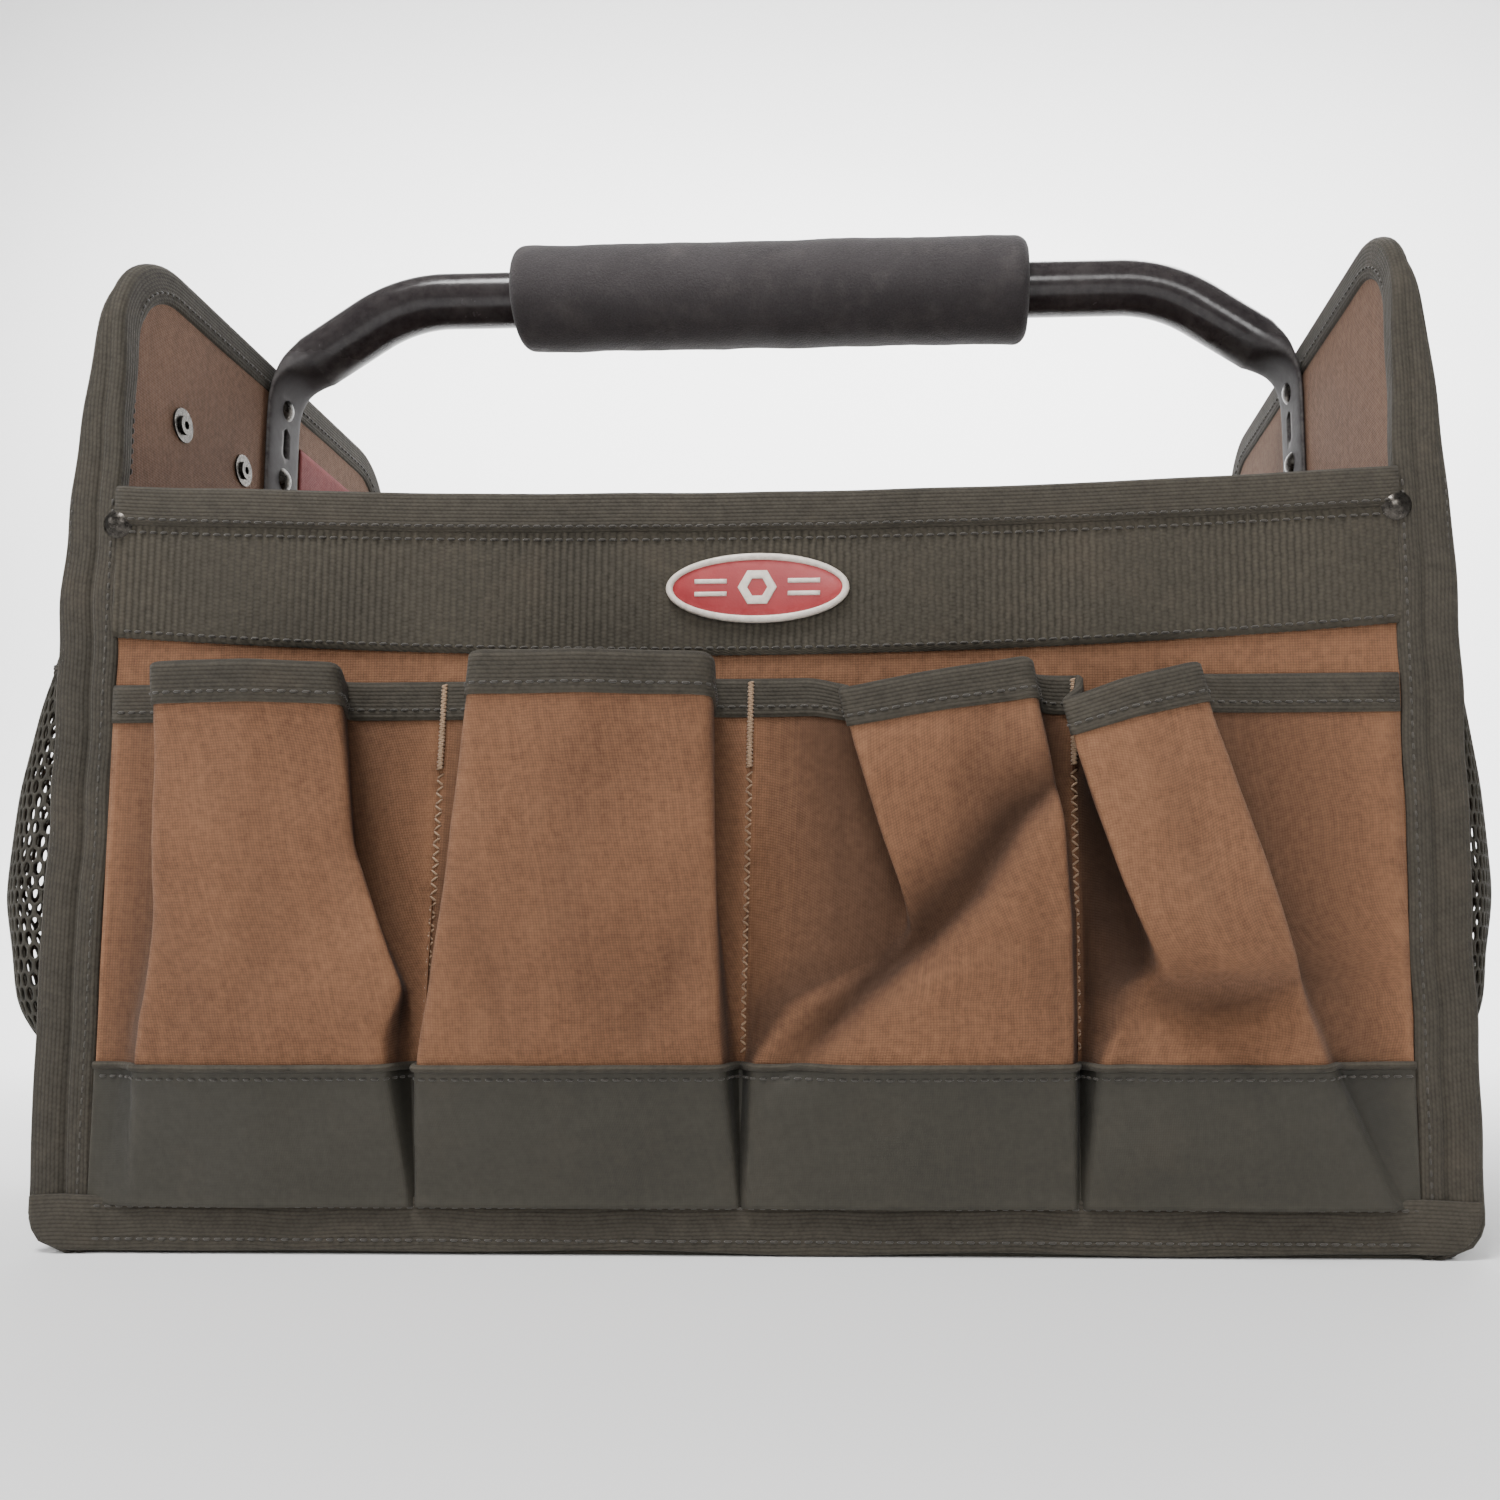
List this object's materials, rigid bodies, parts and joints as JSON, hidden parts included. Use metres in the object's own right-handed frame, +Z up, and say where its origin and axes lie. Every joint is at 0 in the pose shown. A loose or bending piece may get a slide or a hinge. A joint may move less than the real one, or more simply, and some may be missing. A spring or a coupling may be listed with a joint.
{
  "type": "open-top tool tote",
  "caption": "Open-top soft-sided tool tote with pleated canvas pockets, mesh end pockets and a tubular handle with a foam grip.",
  "frame": {"origin": "middle of the base's underside, which rests on the ground", "axes": "+X to the right along the handle, +Y from the front wall to the back wall, +Z up"},
  "size_m": [0.528, 0.3036, 0.3965],
  "materials": {
    "canvas": "woven polyester canvas",
    "board": "plain stiffener board",
    "lining": "woven",
    "tape": "ribbed folded tape",
    "webbing": "ribbed webbing",
    "band": "smooth coated fabric",
    "mesh": "open net",
    "thread": "sewing thread",
    "tube": "gloss black enamel",
    "foam": "closed-cell foam",
    "rivet": "dark antique finish",
    "badge": "moulded, pale rim",
    "tag": "woven label"
  },
  "bodies": {
    "root": {"back_band_piping": "tape", "back_bar_tacks": "thread", "back_board": "board", "back_canvas": "canvas", "back_lining": "lining", "back_pocket_1": "canvas", "back_pocket_2": "canvas", "back_pocket_3": "canvas", "back_pocket_4": "canvas", "back_pocket_band": "band", "back_pocket_binding": "tape", "back_top_binding": "tape", "back_webbing": "webbing", "badge": "badge", "base_board": "board", "base_cover": "band", "base_hem": "tape", "base_lining": "lining", "corner_rivets": "rivet", "ear_rivets": "rivet", "ear_washers": "rivet", "foam_grip": "foam", "front_band_piping": "tape", "front_bar_tacks": "thread", "front_board": "board", "front_canvas": "canvas", "front_lining": "lining", "front_pocket_1": "canvas", "front_pocket_2": "canvas", "front_pocket_3": "canvas", "front_pocket_4": "canvas", "front_pocket_band": "band", "front_pocket_binding": "tape", "front_top_binding": "tape", "front_webbing": "webbing", "handle_rivets": "rivet", "handle_tube": "tube", "handle_washers": "rivet", "inner_tag": "tag", "left_end_band": "band", "left_end_binding": "tape", "left_end_board": "board", "left_end_canvas": "canvas", "left_end_lining": "lining", "left_mesh_binding": "tape", "left_mesh_pocket": "mesh", "right_end_band": "band", "right_end_binding": "tape", "right_end_board": "board", "right_end_canvas": "canvas", "right_end_lining": "lining", "right_mesh_binding": "tape", "right_mesh_pocket": "mesh"}
  },
  "joints": []
}
